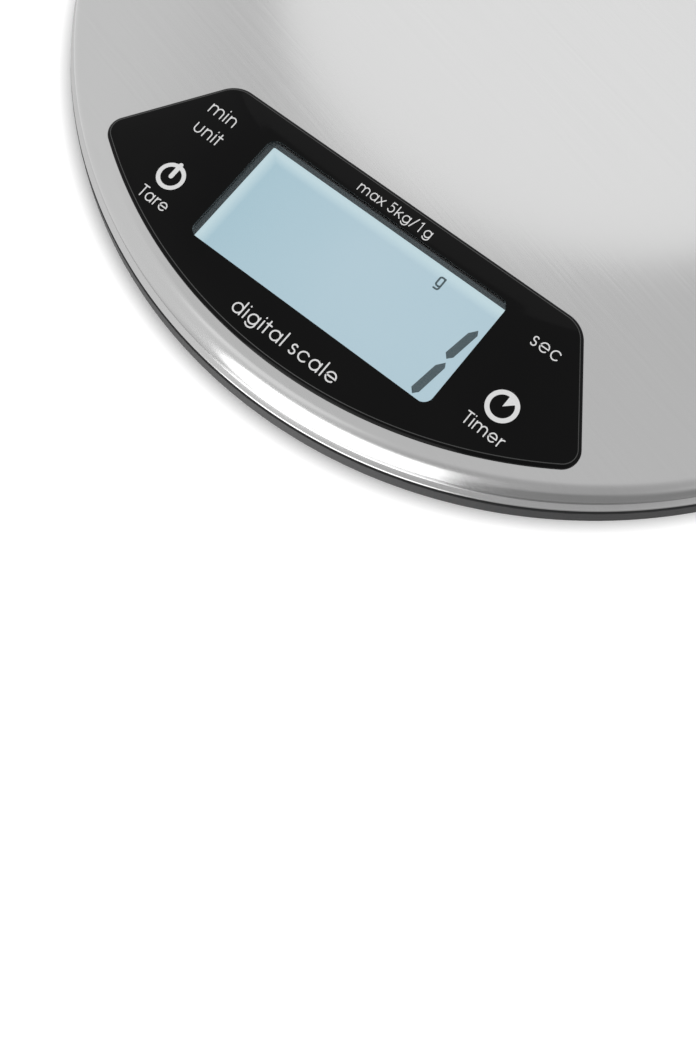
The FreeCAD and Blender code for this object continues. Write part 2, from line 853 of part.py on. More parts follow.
def cut_cover_notches(body):
    """Slots in the bay's front wall, above the floor, that the cover's two hooks swing through."""
    for side, sign in (("left", -1), ("right", 1)):
        notch = new_sketch(body, f"hook_notch_{side}", "XY_Plane", INNER_FLOOR)
        centre = size("cover_hook_across") * sign
        half = size("cover_hook_width") / 2 + size("hook_notch_clearance")
        overrun = size("hook_notch_overrun")
        low = (centre - half, size("bay_front") - size("bay_wall") - overrun)
        draw_outline(notch, rectangle(low, (centre + half, size("bay_front") + overrun)))
        pocket(body, notch, size("hook_notch_height"), up=True)


def make_housing_screws():
    head = size("housing_screw_head_height")
    screws = [
        screw(f"housing_screw_{i}", size("housing_screw_shank"), size("housing_screw_head"), head,
              size("housing_screw_length"),
              (x, y, size("base_floor_height") + size("housing_screw_recess") - head))
        for i, (x, y) in enumerate(housing_screw_places())
    ]
    node("housing_screws", group("housing_screws", screws))


# The battery bay's cover, cells and contacts


def make_battery_cover():
    """A flat lid with two hooks at its front edge, a nib at its back edge and a finger groove."""
    gap = size("cover_clearance")
    half = size("bay_half_length") - gap
    front = size("bay_front") + gap
    back = size("bay_back") - gap
    floor = size("base_floor_height")
    hinge = size("cover_hinge_radius")
    parts = [
        box("cover_plate", (-half, front + hinge, floor), (half, back, COVER_TOP)),
        box("cover_front_strip", (-half, front, floor + hinge), (half, front + hinge, COVER_TOP)),
        cylinder("cover_hinge_edge", hinge, half * 2, (-half, front + hinge, floor + hinge), (1, 0, 0)),
    ]
    overlap = size("join_overlap")
    under = COVER_TOP + size("cover_hook_gap")
    top = under + size("cover_hook_thickness")
    root = front + size("cover_hook_root")
    for side, sign in (("left", -1), ("right", 1)):
        centre = size("cover_hook_across") * sign
        low = centre - size("cover_hook_width") / 2
        high = centre + size("cover_hook_width") / 2
        tip = front - size("cover_hook_reach")
        parts.append(box(f"cover_hook_{side}", (low, tip, under), (high, root, top)))
        parts.append(box(f"cover_hook_root_{side}", (low, front, COVER_TOP - overlap), (high, root, top)))
    nib_half = size("cover_nib_half_width")
    nib_rise = size("cover_nib_half_height")
    middle = floor + size("cover_thickness") / 2
    parts.append(box("cover_nib", (-nib_half, back - overlap, middle - nib_rise),
                     (nib_half, back + size("cover_nib"), middle + nib_rise)))
    lid = fuse("cover_body", *parts)
    length = size("cover_groove_length")
    start = (-length / 2, back - size("cover_groove_inset"), floor - size("cover_groove_drop"))
    groove = cylinder("cover_finger_groove", size("cover_groove_radius"), length, start, (1, 0, 0))
    node("battery_cover", cut("battery_cover", lid, groove))


def make_coin_cells():
    bottom = size("cell_bottom")
    top = bottom + size("cell_height")
    shoulder = top - size("cell_cap_height")
    radius = size("cell_radius")
    cap = size("cell_cap_radius")
    for side, sign in (("left", -1), ("right", 1)):
        middle = (size("bay_front") + size("bay_back")) / 2
        turned_node(f"coin_cell_{side}", [
            (ZERO, bottom), (radius, bottom), (radius, shoulder), (cap, shoulder), (cap, top), (ZERO, top),
        ], (size("cell_across") * sign, middle, 0.0))


def make_battery_contacts():
    """Spring strips along the bay's ceiling: a dimple presses on a cell's cap, a tab on its rim."""
    middle = (size("bay_front") + size("bay_back")) / 2
    half = size("contact_width") / 2
    ceiling = size("bay_ceiling")
    low = ceiling - size("contact_thickness")
    cell_top = size("cell_bottom") + size("cell_height")
    rim = size("cell_radius")
    across = size("cell_across")
    wall = size("bay_half_length")

    def strip(name, left, right):
        return box(name, (left, middle - half, low), (right, middle + half, ceiling))

    def dimple(name, x):
        height = low - cell_top + size("contact_dimple_sink")
        return cylinder(name, size("contact_dimple_radius"), height, (x, middle, cell_top))

    def tab(name, left):
        return box(name, (left, middle - half, size("cell_bottom") + size("contact_tab_gap")),
                   (left + size("contact_thickness"), middle + half, ceiling))

    node("battery_contact_negative", fuse(
        "battery_contact_negative", strip("negative_strip", across - half, wall),
        dimple("negative_dimple", across)))
    node("battery_contact_link", fuse(
        "battery_contact_link", strip("link_strip", -across - half, across - rim),
        dimple("link_dimple", -across), tab("link_tab", across - rim - size("contact_thickness"))))
    node("battery_contact_positive", fuse(
        "battery_contact_positive", strip("positive_strip", -wall, -across - rim),
        tab("positive_tab", -across - rim - size("contact_thickness"))))


# The load cells and feet


def load_cell_screw_places():
    reach = size("load_cell_post")
    for where in FOOT_PLACES:
        x, y = foot_place(where)
        yield x - reach, y - reach
        yield x + reach, y + reach


def make_load_cell(where):
    """A stamped plate whose middle tongue bends when the foot under it is pressed."""
    name = "load_cell_" + where
    body = new_body(name)
    half = size("load_cell_size") / 2
    thickness = size("load_cell_thickness")
    sketch = new_sketch(body, name + "_plate", "XY_Plane")
    draw_outline(sketch, rounded_rectangle((-half, -half), (half, half), size("load_cell_corner")))
    pad(body, sketch, thickness)
    slot = new_sketch(body, name + "_slot", "XY_Plane", thickness)
    inner = size("load_cell_tongue") / 2
    outer = inner + size("load_cell_slot")
    reach = size("load_cell_slot_reach")
    draw_outline(slot, [
        (-outer, -reach), (outer, -reach), (outer, reach), (inner, reach),
        (inner, -reach + size("load_cell_slot")), (-inner, -reach + size("load_cell_slot")),
        (-inner, reach), (-outer, reach),
    ])
    pocket(body, slot, thickness)
    holes = new_sketch(body, name + "_holes", "XY_Plane", thickness)
    post = size("load_cell_post")
    for sign in (-1, 1):
        draw_circle(holes, (post * sign, post * sign), size("small_screw_shank") + size("screw_clearance"))
    pocket(body, holes, thickness)
    x, y = foot_place(where)
    place(body, (x, y, size("load_cell_bottom")))
    node(name, body)


def make_load_cell_screws():
    """Screws put in from above, into the posts of the base."""
    plate_top = size("load_cell_bottom") + size("load_cell_thickness")
    length = size("cell_screw_length")
    screws = []
    for i, (x, y) in enumerate(load_cell_screw_places()):
        head = cylinder(f"cell_screw_{i}_head", size("small_screw_head"), size("small_screw_head_height"),
                        (x, y, plate_top))
        shank = cylinder(f"cell_screw_{i}_shank", size("small_screw_shank"), length + size("join_overlap"),
                         (x, y, plate_top - length))
        screws.append(fuse(f"cell_screw_{i}", head, shank))
    node("load_cell_screws", group("load_cell_screws", screws))


def make_foot(where):
    x, y = foot_place(where)
    at = (x, y, 0.0)
    radius = size("foot_pad_radius")
    soft = size("foot_pad_round")
    pad_top = size("foot_pad_height")
    turned_node("foot_pad_" + where, [
        (ZERO, ZERO), (radius - soft, ZERO, soft), (radius, soft), (radius, pad_top), (ZERO, pad_top),
    ], at)
    rim = size("foot_cup_radius")
    top = size("foot_cup_top")
    bottom = size("foot_cup_bottom")
    stem = size("foot_stem_radius")
    stem_top = size("load_cell_bottom") - size("foot_stem_gap")
    bevel = size("foot_cup_chamfer")
    turned_node("foot_cup_" + where, [
        (ZERO, pad_top), (radius, pad_top), (radius, bottom), (rim, bottom),
        (rim, top - bevel), (rim - bevel, top), (stem, top), (stem, stem_top), (ZERO, stem_top),
    ], at)


# Flat leads on the base's floor


def make_lead(name, route):
    """A flat lead: it lies on the floor along its route, then stands up to the board at the end."""
    width = size("lead_width").value
    thickness = size("lead_thickness").value
    floor = INNER_FLOOR.value
    points = [Vector(x, y, floor) for x, y in route]
    path = Part.makePolygon(points)
    flat = path.makeOffset2D(width / 2, 0, True, False).extrude(Vector(0, 0, thickness))
    end = points[-1]
    riser = Part.makeBox(width, thickness, BOARD_UNDERSIDE.value - floor)
    riser.translate(Vector(end.x - width / 2, end.y - thickness / 2, floor))
    feature = document.addObject("Part::Feature", name)
    feature.Shape = flat.fuse(riser).removeSplitter()
    node(name, feature)


def make_leads():
    for side, sign in (("left", -1), ("right", 1)):
        for name in ("sensor_lead_front", "sensor_lead_rear"):
            make_lead(f"{name}_{side}", [(x * sign, y) for x, y in LEAD_ROUTES[name]])
    make_lead("battery_lead", LEAD_ROUTES["battery_lead"])


def check_and_export():
    """Stops on any failed object, then writes each node's solids to its own file."""
    document.recompute()
    failed = [item.Name for item in document.Objects if {"Invalid", "Error"} & set(item.State)]
    if failed:
        raise RuntimeError(f"failed objects: {failed}")
    os.makedirs("parts", exist_ok=True)
    for name, feature in nodes.items():
        shape = feature.Shape
        if shape.isNull() or not shape.isValid() or not shape.Solids:
            raise RuntimeError(f"{name} has no valid solid")
        shape.exportStep(f"parts/{name}.step")
        print(f"{name}: {len(shape.Solids)} solids, {shape.Volume:.1f} mm3")
    print(f"{len(nodes)} nodes")


fill_sheet()
make_steel_platform()
make_panel()
make_panel_adhesive()
make_display_window()
make_display_frame()
make_display_glass()
make_backlight()
make_contact_strip()
make_circuit_board()
make_board_parts()
make_touch_pads()
make_board_screws()
make_carrier_frame()
make_base_housing()
make_housing_screws()
make_battery_cover()
make_coin_cells()
make_battery_contacts()
for foot_name in FOOT_PLACES:
    make_load_cell(foot_name)
    make_foot(foot_name)
make_load_cell_screws()
make_leads()
check_and_export()
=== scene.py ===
import json
import math

import bmesh
import bpy
from mathutils import Matrix, Vector


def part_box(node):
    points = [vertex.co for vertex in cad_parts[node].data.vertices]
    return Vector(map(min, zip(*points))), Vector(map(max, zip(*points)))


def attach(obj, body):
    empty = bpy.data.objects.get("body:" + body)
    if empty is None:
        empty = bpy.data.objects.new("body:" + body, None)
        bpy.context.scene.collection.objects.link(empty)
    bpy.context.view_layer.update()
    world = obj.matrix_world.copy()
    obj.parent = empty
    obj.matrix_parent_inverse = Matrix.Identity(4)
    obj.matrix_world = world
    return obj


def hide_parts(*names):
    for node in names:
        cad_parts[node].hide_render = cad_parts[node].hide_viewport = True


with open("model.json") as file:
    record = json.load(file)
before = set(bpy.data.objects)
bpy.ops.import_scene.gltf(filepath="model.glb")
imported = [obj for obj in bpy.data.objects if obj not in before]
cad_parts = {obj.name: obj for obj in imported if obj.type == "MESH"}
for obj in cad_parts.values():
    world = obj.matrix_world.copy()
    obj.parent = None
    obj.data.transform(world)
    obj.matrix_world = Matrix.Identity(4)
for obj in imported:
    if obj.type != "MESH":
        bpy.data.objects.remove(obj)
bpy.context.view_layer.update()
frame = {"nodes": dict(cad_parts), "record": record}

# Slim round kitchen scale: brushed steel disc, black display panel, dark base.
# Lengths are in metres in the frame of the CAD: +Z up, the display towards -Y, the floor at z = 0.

MM = 0.001
SCENE = bpy.context.scene
ROOT = "housing"

# Levels that the pieces share, read from the frame
PANEL_LOW, PANEL_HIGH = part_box("display_panel")
# The panel's face lies a little below the node's top, so that the print on it stays inside the CAD box
PRINT_ROOM = 0.08 * MM
PANEL_TOP = PANEL_HIGH.z - PRINT_ROOM
_, DISPLAY_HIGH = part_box("display_glass")
STEEL_LOW, STEEL_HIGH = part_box("steel_platform")
# The steel: the radius of its flat top, the round of its shoulder and the thickness of its sheet
FLAT_RADIUS = 104.6 * MM
SHOULDER_RADIUS = 4.0 * MM
SHEET = 0.6 * MM
BRUSH_ANGLE = math.radians(-14.4)


# ---------------------------------------------------------------- meshes

def add_object(name, mesh, materials, body=ROOT):
    """Links a mesh as a piece that rides on a body and takes its finish from a slot."""
    piece = bpy.data.objects.new(name, mesh)
    SCENE.collection.objects.link(piece)
    for material in materials:
        mesh.materials.append(material)
    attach(piece, body)
    return piece


def mesh_from(bm, name, sharp_degrees=30.0):
    """Turns a bmesh into a mesh with outward normals, smooth except across sharp edges."""
    bmesh.ops.recalc_face_normals(bm, faces=bm.faces)
    limit = math.radians(sharp_degrees)
    for face in bm.faces:
        face.smooth = True
    for edge in bm.edges:
        edge.smooth = len(edge.link_faces) == 2 and edge.calc_face_angle(0.0) < limit
    mesh = bpy.data.meshes.new(name)
    bm.to_mesh(mesh)
    bm.free()
    return mesh


def arc_points(centre, radius, start, end, steps):
    """Points of an arc from one angle to another, in degrees; radius is a number or (across, along)."""
    across, along = radius if isinstance(radius, tuple) else (radius, radius)
    points = []
    for i in range(steps + 1):
        angle = math.radians(start + (end - start) * i / steps)
        points.append((centre[0] + across * math.cos(angle), centre[1] + along * math.sin(angle)))
    return points


def lathe(bm, profile, segments=720):
    """Turns a profile of (radius, height) about the Z axis. A point on the axis becomes one vertex."""
    rings = []
    for radius, height in profile:
        if radius < 1e-7:
            rings.append([bm.verts.new((0, 0, height))])
            continue
        turns = (2 * math.pi * i / segments for i in range(segments))
        rings.append([bm.verts.new((radius * math.cos(t), radius * math.sin(t), height)) for t in turns])
    for below, above in zip(rings, rings[1:]):
        for i in range(segments):
            j = (i + 1) % segments
            corners = [below[i % len(below)], below[j % len(below)]]
            corners += [above[j % len(above)], above[i % len(above)]]
            unique = list(dict.fromkeys(corners))
            if len(unique) > 2:
                bm.faces.new(unique)


def add_ring(bm, outline, height):
    return [bm.verts.new((x, y, height)) for x, y in outline]


def bridge(bm, low, high, material_index=0):
    """Faces between two rings with the same number of points."""
    count = len(low)
    for i in range(count):
        j = (i + 1) % count
        face = bm.faces.new((low[i], low[j], high[j], high[i]))
        face.material_index = material_index


def ring_edges(bm, ring):
    return [bm.edges.get((ring[i], ring[(i + 1) % len(ring)])) for i in range(len(ring))]


def fill_between(bm, *rings):
    """Fills the flat face bounded by an outer ring and its holes."""
    edges = [edge for ring in rings for edge in ring_edges(bm, ring)]
    bmesh.ops.triangle_fill(bm, use_beauty=True, use_dissolve=False, edges=edges)


def flat_solid(bm, outline, low, high):
    """A closed plate from one outline."""
    bottom, top = add_ring(bm, outline, low), add_ring(bm, outline, high)
    bridge(bm, bottom, top)
    bm.faces.new(top)
    bm.faces.new(list(reversed(bottom)))


# ---------------------------------------------------------------- outlines

PANEL_BACK = 59.3 * MM
PANEL_BACK_HALF = 44.0 * MM
PANEL_SLOPE = 0.691
PANEL_FRONT_RADIUS = 103.2 * MM
BACK_CORNER = 6.5 * MM
FRONT_CORNER = 3.8 * MM
CORNER_STEPS, FRONT_STEPS = 14, 160
OPENING_INSET = 3.0 * MM


def panel_corners(inset):
    """Back and front corners of the panel's sharp outline on the right side, moved inwards by inset."""
    lean = math.sqrt(1 + PANEL_SLOPE ** 2)
    back = PANEL_BACK + inset
    half = PANEL_BACK_HALF - lean * inset + PANEL_SLOPE * inset
    radius = PANEL_FRONT_RADIUS - inset
    a = lean ** 2
    b = half * PANEL_SLOPE + back
    c = half ** 2 + back ** 2 - radius ** 2
    run = (math.sqrt(b * b - a * c) - b) / a
    return (half, -back), (half + PANEL_SLOPE * run, -(back + run))


def panel_outline(inset=0.0):
    """The panel's outline with rounded corners, clockwise from the back right corner."""
    side_angle = math.degrees(math.atan2(PANEL_SLOPE, 1.0))
    back_centre = panel_corners(BACK_CORNER)[0]
    front_centre = panel_corners(FRONT_CORNER)[1]
    front_angle = math.degrees(math.atan2(front_centre[1], front_centre[0]))
    right = arc_points(back_centre, BACK_CORNER - inset, 90.0, side_angle, CORNER_STEPS)
    right += arc_points(front_centre, FRONT_CORNER - inset, side_angle, front_angle, CORNER_STEPS)
    front_radius = PANEL_FRONT_RADIUS - inset
    front = arc_points((0, 0), front_radius, front_angle, -180.0 - front_angle, FRONT_STEPS)
    left = [(-x, y) for x, y in reversed(right)]
    return right + front[1:-1] + left


def rounded_rectangle(low, high, radius, steps=10):
    """Anticlockwise outline of a rectangle with rounded corners."""
    (x0, y0), (x1, y1) = low, high
    centres = ((x1 - radius, y0 + radius, -90), (x1 - radius, y1 - radius, 0),
               (x0 + radius, y1 - radius, 90), (x0 + radius, y0 + radius, 180))
    points = []
    for x, y, start in centres:
        points += arc_points((x, y), radius, start, start + 90, steps)
    return points


WINDOW_HALF_LENGTH = 30.2 * MM
WINDOW_HALF_WIDTH = 13.45 * MM
WINDOW_CENTRE = -78.2 * MM
WINDOW_CORNER = 2.2 * MM


def window_outline():
    low = (-WINDOW_HALF_LENGTH, WINDOW_CENTRE - WINDOW_HALF_WIDTH)
    high = (WINDOW_HALF_LENGTH, WINDOW_CENTRE + WINDOW_HALF_WIDTH)
    return rounded_rectangle(low, high, WINDOW_CORNER)


# ---------------------------------------------------------------- materials

class Nodes:
    """A small helper round one material's node tree."""

    def __init__(self, name):
        self.material = bpy.data.materials.new(name)
        self.material.use_nodes = True
        self.tree = self.material.node_tree
        self.shader = self.tree.nodes["Principled BSDF"]

    def add(self, kind, **values):
        made = self.tree.nodes.new("ShaderNode" + kind)
        for key, value in values.items():
            setattr(made, key, value)
        return made

    def link(self, source, target):
        self.tree.links.new(source, target)

    def position(self, scale, turn=0.0):
        """Object coordinates, turned about Z and then scaled along each axis."""
        place = self.add("TexCoord")
        turned = self.add("Mapping")
        turned.inputs["Rotation"].default_value = (0, 0, -turn)
        self.link(place.outputs["Object"], turned.inputs["Vector"])
        scaled = self.add("Mapping")
        scaled.inputs["Scale"].default_value = scale
        self.link(turned.outputs["Vector"], scaled.inputs["Vector"])
        return scaled.outputs["Vector"]

    def noise(self, vector, detail=3.0, roughness=0.5):
        """Noise with cells of one unit of the vector, which sets their real size."""
        made = self.add("TexNoise")
        made.inputs["Scale"].default_value = 1.0
        made.inputs["Detail"].default_value = detail
        made.inputs["Roughness"].default_value = roughness
        self.link(vector, made.inputs["Vector"])
        return made.outputs["Fac"]

    def spread(self, source, low, high, from_low=0.25, from_high=0.75):
        """Maps a noise, or a length, to a range of numbers."""
        made = self.add("MapRange")
        for name, value in (("From Min", from_low), ("From Max", from_high), ("To Min", low), ("To Max", high)):
            made.inputs[name].default_value = value
        self.link(source, made.inputs["Value"])
        return made.outputs["Result"]

    def blend(self, factor, first, second):
        """A colour between two colours."""
        made = self.add("Mix", data_type="RGBA")
        self.link(factor, made.inputs["Factor"])
        for socket, colour in (("A", first), ("B", second)):
            target = next(s for s in made.inputs if s.name == socket and s.type == "RGBA")
            if isinstance(colour, tuple):
                target.default_value = (*colour, 1)
            else:
                self.link(colour, target)
        return next(s for s in made.outputs if s.type == "RGBA")

    def bump(self, source, strength, distance):
        made = self.add("Bump")
        made.inputs["Strength"].default_value = strength
        made.inputs["Distance"].default_value = distance
        self.link(source, made.inputs["Height"])
        self.link(made.outputs["Normal"], self.shader.inputs["Normal"])

    def set(self, **values):
        for key, value in values.items():
            self.shader.inputs[key.replace("_", " ")].default_value = value

    def drive(self, **sources):
        for key, source in sources.items():
            self.link(source, self.shader.inputs[key.replace("_", " ")])


GRAIN_DEPTH = 0.05 * MM
BRUSH_DEPTH = 0.01 * MM
BEND_FADE = 1.4 * MM


def grained(name, dark, light, roughness, grain, bump):
    """A moulded or cast surface: fine grain in colour, roughness and height."""
    nodes = Nodes(name)
    fine = nodes.noise(nodes.position((grain, grain, grain)), detail=4.0)
    broad = nodes.noise(nodes.position((60, 60, 60)), detail=2.0)
    mixed = nodes.add("Math", operation="ADD")
    nodes.link(fine, mixed.inputs[0])
    nodes.link(broad, mixed.inputs[1])
    shade = nodes.spread(mixed.outputs[0], 0.0, 1.0, 0.6, 1.4)
    nodes.drive(Base_Color=nodes.blend(shade, dark, light),
                Roughness=nodes.spread(fine, roughness[0], roughness[1]))
    nodes.bump(fine, bump, GRAIN_DEPTH)
    return nodes.material


def brushed_metal(name, dark, light, roughness, across, bump, turn=BRUSH_ANGLE, anisotropy=0.5, bend=0.0):
    """Metal brushed along one line: long streaks, fine across and slow along. Bend is how much rougher it is
    outside the disc's flat top, where the steel bends down."""
    nodes = Nodes(name)
    nodes.set(Metallic=1.0, Anisotropic=anisotropy)
    fine = nodes.noise(nodes.position((90, across, 90), turn), detail=4.0, roughness=0.65)
    broad = nodes.noise(nodes.position((14, across * 0.3, 14), turn), detail=3.0, roughness=0.6)
    mixed = nodes.add("Math", operation="ADD")
    nodes.link(fine, mixed.inputs[0])
    nodes.link(broad, mixed.inputs[1])
    streak = nodes.spread(mixed.outputs[0], 0.0, 1.0, 0.7, 1.3)
    across_line = nodes.add("CombineXYZ")
    across_line.inputs["X"].default_value = -math.sin(turn)
    across_line.inputs["Y"].default_value = math.cos(turn)
    level = nodes.add("VectorMath", operation="MULTIPLY")
    level.inputs[1].default_value = (1, 1, 0)
    nodes.link(nodes.add("TexCoord").outputs["Object"], level.inputs[0])
    reach = nodes.add("VectorMath", operation="LENGTH")
    nodes.link(level.outputs["Vector"], reach.inputs[0])
    rough = nodes.add("Math", operation="ADD")
    nodes.link(nodes.spread(streak, roughness[0], roughness[1], 0.0, 1.0), rough.inputs[0])
    bent = nodes.spread(reach.outputs["Value"], 0.0, bend, FLAT_RADIUS, FLAT_RADIUS + BEND_FADE)
    nodes.link(bent, rough.inputs[1])
    nodes.drive(Base_Color=nodes.blend(streak, dark, light), Roughness=rough.outputs["Value"],
                Tangent=across_line.outputs["Vector"])
    nodes.bump(mixed.outputs[0], bump, BRUSH_DEPTH)
    return nodes.material


def black_gloss():
    """The panel's polished black face, with the faintest unevenness."""
    nodes = Nodes("panel_gloss")
    nodes.set(Specular_IOR_Level=0.09)
    cloud = nodes.noise(nodes.position((40, 40, 40)), detail=3.0)
    haze = nodes.noise(nodes.position((900, 900, 900)), detail=3.0)
    black = nodes.blend(nodes.spread(cloud, 0.0, 1.0), (0.0022, 0.0022, 0.0024), (0.0036, 0.0035, 0.0035))
    nodes.drive(Base_Color=black, Roughness=nodes.spread(haze, 0.05, 0.13))
    return nodes.material


def edge_highlight_paint():
    """A brighter metallic finish on the narrow band round the panel's face, which paints the highlight line
    along its edge.
    """
    nodes = Nodes("panel_edge")
    nodes.set(Metallic=1.0)
    fine = nodes.noise(nodes.position((2500, 2500, 2500)), detail=2.0)
    # This light grey, far above the black gloss, paints the edge's highlight.
    nodes.drive(Base_Color=nodes.blend(fine, (0.07, 0.07, 0.07), (0.1, 0.1, 0.1)),
                Roughness=nodes.spread(fine, 0.2, 0.35))
    return nodes.material


def white_print():
    """Silk-screened ink, very slightly uneven."""
    nodes = Nodes("legend_print")
    nodes.set(Specular_IOR_Level=0.3)
    speck = nodes.noise(nodes.position((4000, 4000, 4000)), detail=2.0)
    nodes.drive(Base_Color=nodes.blend(speck, (0.76, 0.76, 0.76), (0.86, 0.86, 0.86)),
                Roughness=nodes.spread(speck, 0.35, 0.5))
    return nodes.material


def clear_lens():
    """A thin clear pane: it lets the display through, and only its flat face mirrors a little."""
    nodes = Nodes("clear_lens")
    glossy = nodes.add("BsdfGlossy")
    glossy.inputs["Roughness"].default_value = 0.05
    clear = nodes.add("BsdfTransparent")
    place = nodes.add("TexCoord")
    normal = nodes.add("SeparateXYZ")
    nodes.link(place.outputs["Normal"], normal.inputs["Vector"])
    fade = nodes.spread(normal.outputs["Z"], 0.0, 0.012, 0.5, 0.9)
    mixed = nodes.add("MixShader")
    nodes.link(fade, mixed.inputs["Fac"])
    nodes.link(clear.outputs["BSDF"], mixed.inputs[1])
    nodes.link(glossy.outputs["BSDF"], mixed.inputs[2])
    output = nodes.tree.nodes["Material Output"]
    nodes.link(mixed.outputs["Shader"], output.inputs["Surface"])
    return nodes.material


DISPLAY_BLUE = (0.345, 0.512, 0.59)
DISPLAY_PALE = (0.41, 0.555, 0.63)
DISPLAY_BRIGHT = (0.52, 0.67, 0.72)
# How far from the window's back and left edges the display starts to brighten, and where it is brightest
BACK_GLOW_START, BACK_GLOW_FULL = 3.2 * MM, 1.2 * MM
LEFT_GLOW_START, LEFT_GLOW_FULL = 3.0 * MM, 0.8 * MM


def lit_display():
    """The backlit display: an even pale blue that brightens towards the back and left edges."""
    nodes = Nodes("lit_display")
    nodes.set(Base_Color=(0.01, 0.012, 0.013, 1), Roughness=0.35, Emission_Strength=1.0)
    place = nodes.add("SeparateXYZ")
    coordinates = nodes.add("TexCoord")
    nodes.link(coordinates.outputs["Object"], place.inputs["Vector"])
    back = WINDOW_CENTRE + WINDOW_HALF_WIDTH
    from_back = nodes.spread(place.outputs["Y"], 0.0, 1.0, back - BACK_GLOW_START, back - BACK_GLOW_FULL)
    left = -WINDOW_HALF_LENGTH
    from_left = nodes.spread(place.outputs["X"], 1.0, 0.0, left + LEFT_GLOW_FULL, left + LEFT_GLOW_START)
    edge = nodes.add("Math", operation="MAXIMUM")
    nodes.link(from_back, edge.inputs[0])
    nodes.link(from_left, edge.inputs[1])
    cloud = nodes.noise(nodes.position((45, 45, 45)), detail=2.0)
    across = nodes.spread(place.outputs["X"], 0.0, 0.8, left, 0.0)
    slow = nodes.add("Math", operation="ADD")
    nodes.link(across, slow.inputs[0])
    nodes.link(nodes.spread(cloud, 0.0, 0.2), slow.inputs[1])
    field = nodes.blend(slow.outputs[0], DISPLAY_BLUE, DISPLAY_PALE)
    nodes.drive(Emission_Color=nodes.blend(edge.outputs[0], field, DISPLAY_BRIGHT))
    return nodes.material


def segment_ink():
    """A darkened liquid-crystal segment over the light."""
    nodes = Nodes("segment_ink")
    nodes.set(Base_Color=(0.005, 0.006, 0.007, 1), Roughness=0.5, Emission_Strength=1.0)
    cloud = nodes.noise(nodes.position((900, 900, 900)), detail=2.0)
    nodes.drive(Emission_Color=nodes.blend(cloud, (0.034, 0.062, 0.074), (0.046, 0.076, 0.088)))
    return nodes.material


# Grained surfaces by slot: dark colour, light colour, roughness range, grains a metre, bump
GRAINED = {
    "adhesive_black": ((0.008, 0.008, 0.008), (0.02, 0.02, 0.02), (0.6, 0.8), 3000, 0.2),
    "frame_plastic": ((0.012, 0.013, 0.015), (0.018, 0.019, 0.021), (0.5, 0.65), 2600, 0.15),
    "light_guide": ((0.75, 0.78, 0.8), (0.88, 0.9, 0.92), (0.2, 0.35), 1500, 0.05),
    "conductive_rubber": ((0.03, 0.03, 0.03), (0.06, 0.06, 0.06), (0.7, 0.9), 2400, 0.3),
    "board_laminate": ((0.012, 0.1, 0.045), (0.03, 0.19, 0.09), (0.25, 0.45), 1200, 0.15),
    "chip_resin": ((0.008, 0.008, 0.008), (0.025, 0.025, 0.025), (0.25, 0.4), 1800, 0.2),
    "base_plastic": ((0.024, 0.024, 0.025), (0.038, 0.038, 0.039), (0.5, 0.65), 1900, 0.35),
    "foot_rubber": ((0.035, 0.035, 0.035), (0.06, 0.06, 0.06), (0.75, 0.92), 1600, 0.4),
    "lead_sheath": ((0.22, 0.22, 0.22), (0.34, 0.34, 0.34), (0.5, 0.7), 1500, 0.2),
}

# Brushed metals by slot: dark colour, light colour, roughness range, streaks a metre, bump, and other settings
BRUSHED = {
    "brushed_steel": ((0.6, 0.6, 0.6), (0.62, 0.62, 0.62), (0.1, 0.14), 5200, 0.2, {"bend": 0.1}),
    "plated_metal": ((0.6, 0.59, 0.56), (0.72, 0.71, 0.68), (0.18, 0.3), 3000, 0.1,
                     {"turn": 0.3, "anisotropy": 0.2}),
    "screw_steel": ((0.42, 0.42, 0.42), (0.58, 0.58, 0.57), (0.25, 0.4), 4000, 0.15,
                    {"turn": 1.1, "anisotropy": 0.2}),
    "cell_aluminium": ((0.6, 0.6, 0.6), (0.74, 0.74, 0.74), (0.3, 0.42), 2500, 0.1,
                       {"turn": 0.7, "anisotropy": 0.3}),
}

# One material for each slot of the record
SLOT_MATERIALS = {slot: grained(slot, *values) for slot, values in GRAINED.items()}
for slot, (*values, others) in BRUSHED.items():
    SLOT_MATERIALS[slot] = brushed_metal(slot, *values, **others)
SLOT_MATERIALS.update(black_gloss=black_gloss(), clear_lens=clear_lens(), display_glass=lit_display())
INK = white_print()


def paint_frame():
    """Gives every CAD node the material of its slot."""
    for entry in frame["record"]["subparts"]:
        mesh = frame["nodes"][entry["node"]].data
        mesh.materials.clear()
        mesh.materials.append(SLOT_MATERIALS[entry["material_slot"]])
        for face in mesh.polygons:
            face.material_index = 0


# ---------------------------------------------------------------- pieces

# The skirt's crease, the turn of its lip and the round at the lip's foot
SKIRT_CREASE, LIP_TURN, LIP_ROUND = 0.3 * MM, 0.35 * MM, 0.12 * MM
CREASE_DROP = 0.15 * MM
# An extra ring on the flat top, which shortens its faces
INNER_RING = 60 * MM


def platform_profile():
    """Half section of the steel disc: a flat top, a rounded shoulder, a crease and a narrow flared lip."""
    top, low = STEEL_HIGH.z, STEEL_LOW.z
    foot = top - SHOULDER_RADIUS
    edge = STEEL_HIGH.x
    shoulder = FLAT_RADIUS + SHOULDER_RADIUS
    profile = [(0, top - SHEET)]
    profile += arc_points((FLAT_RADIUS, foot), SHOULDER_RADIUS - SHEET, 90, 0, 12)
    profile += [(shoulder - SHEET, low + LIP_ROUND), (shoulder - SHEET + LIP_ROUND, low)]
    profile += arc_points((edge - LIP_ROUND, low + LIP_ROUND), LIP_ROUND, -90, 0, 4)
    profile += arc_points((edge - LIP_TURN, low + LIP_ROUND), LIP_TURN, 0, 80, 8)[1:]
    profile += arc_points((shoulder + SKIRT_CREASE, foot - CREASE_DROP), SKIRT_CREASE, -110, -180, 6)
    profile += arc_points((FLAT_RADIUS, foot), SHOULDER_RADIUS, 0, 90, 28)
    return profile + [(INNER_RING, top), (0, top)]


